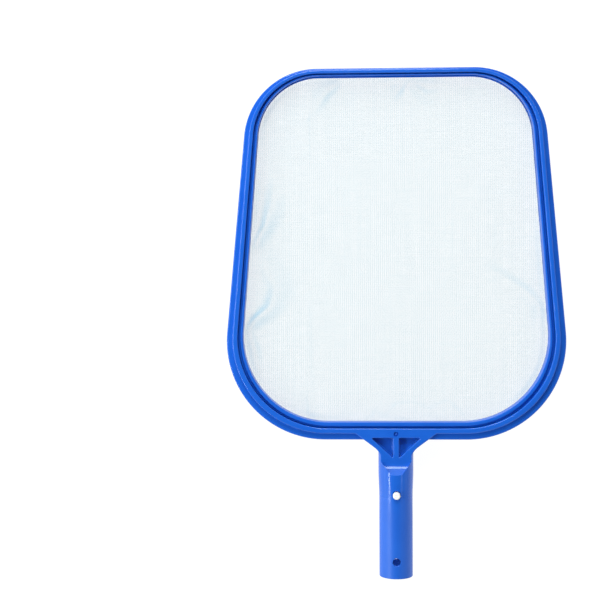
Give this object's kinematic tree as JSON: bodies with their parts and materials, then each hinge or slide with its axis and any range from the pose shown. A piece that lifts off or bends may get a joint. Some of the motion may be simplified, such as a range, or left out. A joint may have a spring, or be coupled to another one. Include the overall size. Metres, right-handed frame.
{
  "type": "leaf skimmer net",
  "caption": "Flat pool leaf skimmer: a mesh held in a rounded moulded frame, with a gusseted spigot and a spring clip whose buttons lock it to a pole.",
  "frame": {"origin": "centre of the spigot's mouth, on the spigot's axis", "axes": "+Y runs up the tool, from the mouth to the frame's far edge; +X is to the right; +Z is the front, the side that gathers leaves"},
  "size_m": [0.272, 0.408, 0.033],
  "materials": {
    "frame_plastic": "blue moulded polypropylene, glossy with soft moulding marks",
    "mesh_fabric": "fine pale blue woven polyester mesh",
    "clip_plastic": "plain white acetal"
  },
  "bodies": {
    "skimmer": {"main_frame": "frame_plastic", "retaining_ring": "frame_plastic", "net_mesh": "mesh_fabric", "clip_bow": "clip_plastic"},
    "front_button": {"clip_front_arm": "clip_plastic"},
    "rear_button": {"clip_rear_arm": "clip_plastic"}
  },
  "joints": [
    {"name": "front_button_press", "type": "hinge", "parent": "skimmer", "child": "front_button", "pos_m": [0, 0.03, 0.0088], "axis": [-1, 0, 0], "range_deg": [0, 4.8], "stiffness_Nm_per_rad": 2, "springref_deg": -5.73},
    {"name": "rear_button_press", "type": "hinge", "parent": "skimmer", "child": "rear_button", "pos_m": [0, 0.03, -0.0088], "axis": [1, 0, 0], "range_deg": [0, 4.8], "stiffness_Nm_per_rad": 2, "springref_deg": -5.73}
  ]
}
